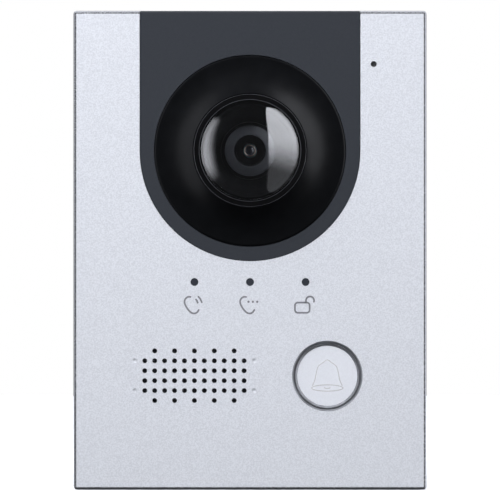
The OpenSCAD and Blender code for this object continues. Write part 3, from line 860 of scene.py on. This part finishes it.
def make_dust_mesh():
    """Crossed wires behind the grille."""
    low, high = (Vector(c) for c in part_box("dust_mesh"))
    middle = (low + high) / 2
    tree = Tree("crossed_wires", Width=high.x - low.x, Height=high.z - low.z, Pitch=0.5 * MM,
                Wire=0.075 * MM)
    sizes = tree.inputs
    sets = []
    for long, short, turn, lift in (("Width", "Height", 0.0, -1.0),
                                    ("Height", "Width", math.pi / 2, 1.0)):
        half = tree.maths("MULTIPLY", sizes[long], 0.5)
        back = tree.maths("MULTIPLY", half, -1.0)
        line = tree.node("CurvePrimitiveLine", Start=tree.vector(x=back), End=tree.vector(x=half))
        wire = tree.rod(line.outputs[0], sizes["Wire"], 4)
        count = tree.maths("DIVIDE", sizes[short], sizes["Pitch"])
        reach = tree.maths("MULTIPLY", sizes[short], -0.5)
        row = tree.node("MeshLine", Count=count, Start_Location=tree.vector(z=reach),
                        Offset=tree.vector(z=sizes["Pitch"]))
        wires = tree.node("InstanceOnPoints", Points=row.outputs[0], Instance=wire)
        depth = tree.maths("MULTIPLY", sizes["Wire"], lift)
        sets.append(tree.moved(wires.outputs[0], Translation=tree.vector(y=depth),
                               Rotation=(0.0, turn, 0.0)))
    placed = tree.moved(tree.join(*sets), Translation=tuple(middle))
    mesh = tree.grow("dust_mesh_wires", placed, [(0, 0, 0)], FINISHES["mesh_black"])
    settle("dust_mesh_wires", mesh, "station", "mesh_black", ["dust_mesh"])


def screw_tree(head_r, head_h, shank_r, length, socket_r, squash, turn):
    """A screw with its head's top at the seed point: a head with a socket or slot, a shank
    and a thread wound round it."""
    core_share, ridge_share = 0.82, 0.18
    run_share, foot_share = 0.92, 0.985
    socket_lift = 0.2
    tree = Tree("threaded_screw", Head_radius=head_r * MM, Head_height=head_h * MM,
                Shank_radius=shank_r * MM, Length=length * MM, Socket_radius=socket_r * MM,
                Socket_squash=squash, Turn=turn, Pitch=0.55 * MM)
    sizes = tree.inputs
    head_mid = tree.maths("MULTIPLY", sizes["Head_height"], -0.5)
    head = tree.node("MeshCylinder", Vertices=28, Radius=sizes["Head_radius"],
                     Depth=sizes["Head_height"])
    head_at = tree.moved(head.outputs[0], Translation=tree.vector(z=head_mid))
    socket = tree.node("MeshCylinder", Vertices=6, Radius=sizes["Socket_radius"],
                       Depth=sizes["Head_height"])
    socket_mid = tree.maths("MULTIPLY", head_mid, socket_lift)
    socket_at = tree.moved(socket.outputs[0], Translation=tree.vector(z=socket_mid),
                           Scale=tree.vector(x=1.0, y=sizes["Socket_squash"], z=1.0))
    cut = tree.node("MeshBoolean", {"operation": "DIFFERENCE"}, Mesh_1=head_at, Mesh_2=socket_at)
    long = tree.maths("SUBTRACT", sizes["Length"], sizes["Head_height"])
    core_r = tree.maths("MULTIPLY", sizes["Shank_radius"], core_share)
    core = tree.node("MeshCylinder", Vertices=20, Radius=core_r, Depth=long)
    core_mid = tree.maths("SUBTRACT", tree.maths("MULTIPLY", long, -0.5), sizes["Head_height"])
    core_at = tree.moved(core.outputs[0], Translation=tree.vector(z=core_mid))
    run = tree.maths("MULTIPLY", long, run_share)
    turns = tree.maths("DIVIDE", run, sizes["Pitch"])
    thread = tree.node("CurveSpiral", Resolution=14, Rotations=turns, Start_Radius=core_r,
                       End_Radius=core_r, Height=run)
    ridge_r = tree.maths("MULTIPLY", sizes["Shank_radius"], ridge_share)
    foot = tree.maths("MULTIPLY", sizes["Length"], -foot_share)
    wound_at = tree.moved(tree.rod(thread.outputs[0], ridge_r, 3), Translation=tree.vector(z=foot))
    screw = tree.join(cut.outputs[0], core_at, wound_at)
    return tree, tree.on_seeds(screw, Rotation=tree.vector(x=sizes["Turn"]))


TO_WALL, TO_FRONT, TO_FLOOR = -math.pi / 2, math.pi / 2, math.pi


def make_screws(name, boxes, head_h, shank_r, socket_r, turn, squash=1.0, stands_for=()):
    """Screws in the places and lengths of a node's solids."""
    axis, body = (2, "bracket") if turn == TO_FLOOR else (1, "station")
    size = (boxes[0][1] - boxes[0][0]) / MM
    seeds = []
    for low, high in boxes:
        seed = (low + high) / 2
        seed[axis] = high[axis] if turn == TO_WALL else low[axis]
        seeds.append(seed)
    tree, placed = screw_tree(size.x / 2, head_h, shank_r, size[axis], socket_r, squash, turn)
    mesh = tree.grow(name, placed, seeds, FINISHES["screw_steel"])
    return settle(name, mesh, body, "screw_steel", stands_for)


def make_fixings():
    """Threaded screws: (head's height, shank's radius, socket's radius) in millimetres."""
    for name, node, head_h, shank_r, socket_r, turn in (
            ("housing_fixings", "housing_screws", 1.9, 1.45, 1.35, TO_WALL),
            ("bezel_fixings", "bezel_screws", 0.7, 0.9, 0.8, TO_WALL),
            ("board_fixings", "board_screws", 1.2, 1.0, 1.0, TO_FRONT)):
        make_screws(name, solids_of(node), head_h, shank_r, socket_r, turn, stands_for=[node])
    ear_head = 3.8 * MM
    small = [b for b in solids_of("camera_screws") if (b[1] - b[0]).x < ear_head]
    large = [b for b in solids_of("camera_screws") if (b[1] - b[0]).x >= ear_head]
    ears = make_screws("camera_ear_fixings", large, 1.2, 1.0, 1.0, TO_WALL)
    posts = make_screws("camera_post_fixings", small, 1.0, 0.9, 0.8, TO_WALL)
    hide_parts("camera_screws")
    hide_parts("camera_screws")
    make_screws("terminal_fixings", solids_of("terminal_screws"), 1.2, 0.95, 1.15, TO_WALL,
                squash=0.22, stands_for=["terminal_screws"])
    make_screws("lock_fixing", solids_of("lock_screw"), 1.9, 1.45, 1.25, TO_FLOOR,
                stands_for=["lock_screw"])


def make_night_lamps():
    """Infrared lamps: a flat package with a clear dome, on each seed point."""
    boxes = solids_of("infrared_leds")
    back = boxes[0][1].y
    tree = Tree("domed_lamp", Width=3.0 * MM, Package=0.95 * MM, Dome=1.2 * MM)
    sizes = tree.inputs
    lift = tree.maths("MULTIPLY", sizes["Package"], -0.5)
    package = tree.node("MeshCube",
                        Size=tree.vector(sizes["Width"], sizes["Package"], sizes["Width"]))
    package_at = tree.moved(package.outputs[0], Translation=tree.vector(y=lift))
    dome = tree.node("MeshUVSphere", Segments=20, Rings=12, Radius=sizes["Dome"])
    dome_lift = tree.maths("MULTIPLY", sizes["Package"], -0.95)
    dome_at = tree.moved(dome.outputs[0], Translation=tree.vector(y=dome_lift),
                         Scale=(1.0, 0.7, 1.0))
    lamps = tree.on_seeds(tree.join(package_at, dome_at), Rotation=(0.0, math.pi / 4, 0.0))
    middles = [(low + high) / 2 for low, high in boxes]
    seeds = [(middle.x, back, middle.z) for middle in middles]
    mesh = tree.grow("night_lamps", lamps, seeds, FINISHES["led_clear"])
    settle("night_lamps", mesh, "station", "led_clear", ["infrared_leds"])


def make_contacts():
    """Bent gold springs in the network socket, one for each contact."""
    boxes = solids_of("jack_contacts")
    length = (boxes[0][1] - boxes[0][0]).y
    tree = Tree("contact_spring", Length=length, Wire=0.16 * MM, Dip=1.6 * MM)
    sizes = tree.inputs
    half = tree.maths("MULTIPLY", sizes["Length"], 0.5)
    other_half = tree.maths("MULTIPLY", half, -1.0)
    near_dip = tree.maths("MULTIPLY", sizes["Dip"], -0.4)
    far_dip = tree.maths("MULTIPLY", sizes["Dip"], -1.0)
    wire = tree.node("CurvePrimitiveBezierSegment", Resolution=12,
                     Start=tree.vector(y=half), End=tree.vector(y=other_half),
                     Start_Handle=tree.vector(y=half, z=near_dip),
                     End_Handle=tree.vector(z=far_dip))
    springs = tree.on_seeds(tree.rod(wire.outputs[0], sizes["Wire"], 8))
    mesh = tree.grow("contact_springs", springs, [(a + b) / 2 for a, b in boxes],
                     FINISHES["contact_gold"])
    settle("contact_springs", mesh, "station", "contact_gold", ["jack_contacts"])


def make_chip_legs():
    """Rows of legs along the two long sides of the processor and the memory."""
    board_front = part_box("main_board")[0][1]
    pitch = 0.8 * MM
    chip_height = 5 * MM
    chip_depth = 0.9 * MM
    seeds = []
    for low, high in solids_of("board_components"):
        if low.y >= board_front - chip_depth or high.z - low.z <= chip_height:
            continue
        count = int((high.x - low.x) / pitch)
        start = (low.x + high.x - (count - 1) * pitch) / 2
        seeds += [(start + k * pitch, board_front, z)
                  for k in range(count) for z in (low.z, high.z)]
    tree = Tree("chip_leg", Width=0.36 * MM, Reach=1.0 * MM, Rise=0.5 * MM)
    sizes = tree.inputs
    rise = tree.maths("MULTIPLY", sizes["Rise"], -0.5)
    leg = tree.node("MeshCube", Size=tree.vector(sizes["Width"], sizes["Rise"], sizes["Reach"]))
    legs = tree.on_seeds(tree.moved(leg.outputs[0], Translation=tree.vector(y=rise)))
    mesh = tree.grow("chip_legs", legs, seeds, FINISHES["magnet_steel"])
    settle("chip_legs", mesh, "station", "magnet_steel")


def make_speaker():
    """A ribbed cone with a cap, and the rolled edge that carries it."""
    back = -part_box("speaker_cone")[1][1] / MM
    front = front_of("speaker_cone")
    middle = spot("speaker_cone")
    thick = 0.3
    rib_step, rib_slope, rib_lift = 0.37, 0.024, 0.06
    first_rib_r, edge_r = 4.3, 10.2
    ribs = [(first_rib_r + rib_step * k,
             back + 0.16 + rib_slope * k + (rib_lift if k % 2 else 0.0)) for k in range(17)]
    cone = ([(0, 15.62), (3.0, 15.32), (4.1, back)] + ribs
            + [(edge_r, front - 0.28), (edge_r, front)]
            + [(r, out + thick) for r, out in ribs[::-1]]
            + [(4.0, 15.62), (2.0, 15.85), (0, 15.95)])
    turned("ribbed_cone", middle, [cone], "speaker_moving_coil", "cone_paper", ["speaker_cone"],
           segments=96, crease=50)
    roll_at, roll_out = 11.07, 15.42
    roll = arc(roll_at, roll_out, 0.66, 0, 180, 12) + arc(roll_at, roll_out, 0.5, 180, 0, 12)
    turned("rolled_edge", middle, [roll], "station", "seal_rubber", ["speaker_surround"],
           segments=96, crease=50)


make_spring()
make_dust_mesh()
make_fixings()
make_night_lamps()
make_contacts()
make_chip_legs()
make_speaker()


# ---------------------------------------------------------------- floor, light and camera

COOL = (0.96, 0.977, 1.043)
WATTS_FOR_RADIANCE = 4
LENS_PIECES = ("clear_dome", "dome_ring", "dome_beads", "stepped_funnel", "lens_cap", "lens_ring",
               "front_lens_glass", "barrel_nose")


def stage_floor():
    """A pale round floor that the camera sees and the object's surfaces don't mirror."""
    mesh = bpy.data.meshes.new("studio_floor")
    disc = bmesh.new()
    bmesh.ops.create_circle(disc, cap_ends=True, segments=64, radius=0.6)
    disc.to_mesh(mesh)
    disc.free()
    for vertex in mesh.vertices:
        vertex.co.z = FLOOR_Z
    floor = put("studio_floor", mesh)
    paint = Finish("pale_floor", (0.86, 0.87, 0.88), 0.7)
    paint.colour(paint.noise(60.0), (0.9, 0.91, 0.92), (0.92, 0.93, 0.94))
    mesh.materials.append(paint.material)
    floor.visible_glossy = False
    floor.visible_transmission = False
    floor.visible_diffuse = False


def soft_box(name, azimuth, elevation, distance, size, radiance, roll=0.0, mirrored=True):
    """A rectangular lamp that faces the lens: turned to the right by its azimuth, raised by
    its elevation, and rolled about its own axis. The radiance is what a mirror would show."""
    a, e, r = (math.radians(v) for v in (azimuth, elevation, roll))
    out = Vector((math.sin(a) * math.cos(e), -math.cos(a) * math.cos(e), math.sin(e)))
    flat = Vector((math.cos(a), math.sin(a), 0.0))
    up = out.cross(flat)
    across = flat * math.cos(r) + up * math.sin(r)
    rise = up * math.cos(r) - flat * math.sin(r)
    data = bpy.data.lights.new(name, "AREA")
    data.shape = "RECTANGLE"
    data.size, data.size_y = size
    data.energy = radiance * WATTS_FOR_RADIANCE * size[0] * size[1]
    data.color = COOL
    lamp = put(name, data)
    turn = Matrix((across, rise, out)).transposed().to_4x4()
    aim = from_wall(*LENS, FACE)
    lamp.matrix_world = Matrix.Translation(aim + out * distance) @ turn
    lamp.visible_glossy = mirrored
    lamp.visible_transmission = mirrored
    lamp.visible_camera = False
    return lamp


def group(name, wanted):
    """The pieces whose names pass a test, as a group for lamps to light."""
    made = bpy.data.collections.new(name)
    for piece in bpy.context.scene.objects:
        if piece.type == "MESH" and wanted(piece.name):
            made.objects.link(piece)
    return made


def light_only(lamps, pieces):
    """These lamps light these pieces and no others."""
    for lamp in lamps:
        lamp.light_linking.receiver_collection = pieces


def places_on(lamp):
    """Sockets that say where a point is on a lamp: across and up, each from 0 to 1."""
    lamp.data.use_nodes = True
    tree = lamp.data.node_tree
    place = tree.nodes.new("ShaderNodeNewGeometry")
    split = tree.nodes.new("ShaderNodeSeparateXYZ")
    tree.links.new(place.outputs["Parametric"], split.inputs[0])
    return split.outputs["X"], split.outputs["Y"]


def fade(lamp, place, dark_at, bright_at, least=0.0):
    """Dims a lamp towards one side, on top of any other fade it has."""
    tree = lamp.data.node_tree
    strength = tree.nodes["Emission"].inputs["Strength"]
    ramp = tree.nodes.new("ShaderNodeMapRange")
    ramp.interpolation_type = "SMOOTHSTEP"
    for socket, value in (("From Min", dark_at), ("From Max", bright_at), ("To Min", least)):
        ramp.inputs[socket].default_value = value
    if strength.is_linked:
        tree.links.new(strength.links[0].from_socket, ramp.inputs["To Max"])
    tree.links.new(place, ramp.inputs["Value"])
    tree.links.new(ramp.outputs["Result"], strength)


def bowed(lamp, across, up, bow, middle):
    """The place across a lamp, measured from a side that is bowed about a middle height."""
    tree = lamp.data.node_tree

    def maths(operation, a, b):
        made = tree.nodes.new("ShaderNodeMath")
        made.operation = operation
        for socket, value in zip(made.inputs, (a, b)):
            if isinstance(value, bpy.types.NodeSocket):
                tree.links.new(value, socket)
            else:
                socket.default_value = value
        return made.outputs[0]

    off = maths("SUBTRACT", up, middle)
    return maths("SUBTRACT", across, maths("MULTIPLY", maths("MULTIPLY", off, off), bow))


def studio_world():
    """White where the camera sees it, and a faint cool light for everything else."""
    world = bpy.data.worlds.new("studio")
    bpy.context.scene.world = world
    world.use_nodes = True
    tree = world.node_tree
    tree.nodes.clear()
    seen = tree.nodes.new("ShaderNodeBackground")
    seen.inputs["Color"].default_value = (1.0, 1.0, 1.0, 1.0)
    light = tree.nodes.new("ShaderNodeBackground")
    light.inputs["Color"].default_value = (0.9, 0.93, 1.0, 1.0)
    light.inputs["Strength"].default_value = 0.06
    path = tree.nodes.new("ShaderNodeLightPath")
    mix = tree.nodes.new("ShaderNodeMixShader")
    out = tree.nodes.new("ShaderNodeOutputWorld")
    tree.links.new(path.outputs["Is Camera Ray"], mix.inputs["Fac"])
    tree.links.new(light.outputs["Background"], mix.inputs[1])
    tree.links.new(seen.outputs["Background"], mix.inputs[2])
    tree.links.new(mix.outputs["Shader"], out.inputs["Surface"])


def photographer(distance=0.95, frame_width=0.1358, sensor=36.0):
    data = bpy.data.cameras.new("front_camera")
    camera = put("front_camera", data)
    data.sensor_width = sensor
    data.lens = sensor * distance / frame_width
    camera.location = (0.0, PANEL_LOW.y - distance, 0.0)
    camera.rotation_euler = (math.pi / 2, 0.0, 0.0)
    bpy.context.scene.camera = camera


def light_studio():
    """Lamps for four groups: the dome and lens, the dish, the rest, and what is behind the
    panel. A lamp that isn't linked to a group lights them all."""
    in_dome = group("pieces_in_the_dome", lambda name: name in LENS_PIECES)
    dish = group("dish_alone", lambda name: name == "flared_dish")
    others = group("pieces_beside_the_camera",
                   lambda name: name not in LENS_PIECES + ("flared_dish",))
    behind = group("pieces_behind_the_panel",
                   lambda name: name not in LENS_PIECES + ("front_panel",))
    right = soft_box("right_box", 54.0, 3.0, 1.1, (1.5, 4.2), 4.3, roll=-6.0)
    across, up = places_on(right)
    fade(right, up, 0.33, 0.6, 0.08)
    fade(right, bowed(right, across, up, 1.15, 0.587), 0.154, 0.164)
    left = soft_box("left_box", -75.2, 3.1, 1.1, (0.8, 2.14), 2.9, roll=5.9)
    across, up = places_on(left)
    fade(left, across, 1.0, 0.5)
    fade(left, up, 0.0, 0.4)
    fade(left, up, 1.0, 0.85)
    right_card = soft_box("right_card", 88.0, 32.0, 1.1, (0.5, 1.2), 1.5)
    soft_box("top_box", 0.0, 74.0, 0.9, (0.9, 0.6), 2.3, mirrored=False)
    soft_box("front_fill", -44.0, 44.0, 0.6, (0.6, 0.42), 6.3, mirrored=False)
    light_only([soft_box("back_fill", 180.0, 35.0, 1.2, (1.2, 1.0), 3.0)], behind)
    light_only([left, right], in_dome)
    light_only([right_card, soft_box("left_dish_box", -63.0, 8.0, 1.1, (0.8, 2.0), 1.7),
                soft_box("right_dish_box", 59.0, 22.0, 1.1, (0.7, 1.7), 3.4)], dish)
    light_only([soft_box("front_light", 4.0, -3.0, 1.1, (1.0, 1.0), 4.65, mirrored=False),
                soft_box("left_edge_card", -90.0, 0.0, 1.0, (1.6, 1.6), 0.3),
                soft_box("right_edge_card", 90.0, 0.0, 1.0, (1.6, 1.6), 0.7),
                soft_box("top_edge_card", 0.0, 89.0, 1.0, (1.6, 1.6), 0.7)], others)


stage_floor()
studio_world()
photographer()
light_studio()
bpy.context.scene.view_settings.view_transform = "Standard"
